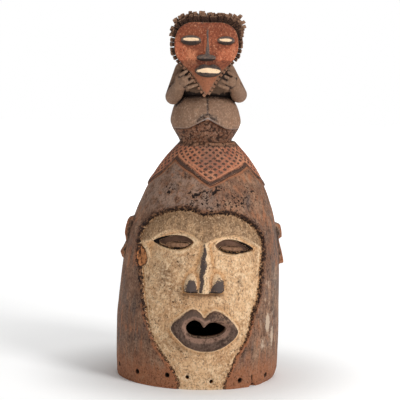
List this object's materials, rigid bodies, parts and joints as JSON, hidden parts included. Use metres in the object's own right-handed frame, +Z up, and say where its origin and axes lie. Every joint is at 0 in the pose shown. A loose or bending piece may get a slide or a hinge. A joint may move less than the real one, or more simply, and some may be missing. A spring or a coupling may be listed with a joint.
{
  "type": "carved helmet mask with crest figure",
  "caption": "Hollow wooden helmet mask with a large light carved face, a netted collar and a crouching crest figure with a red heart-shaped face",
  "frame": {"origin": "on the surface that the mask stands on, under the middle of the whole mask's box", "axes": "+Z up through the crest figure, -Y the way both faces look, +X to the viewer's right"},
  "size_m": [0.2524, 0.2682, 0.5526],
  "materials": {
    "carved_wood": "worn brown wood patina, with a chalky cream face, a red crest face and an orange-red collar",
    "cut_hide": "dry dark brown hide, dull"
  },
  "bodies": {
    "root": {"carved_mask": "carved_wood", "head_fringe": "cut_hide"}
  },
  "joints": []
}
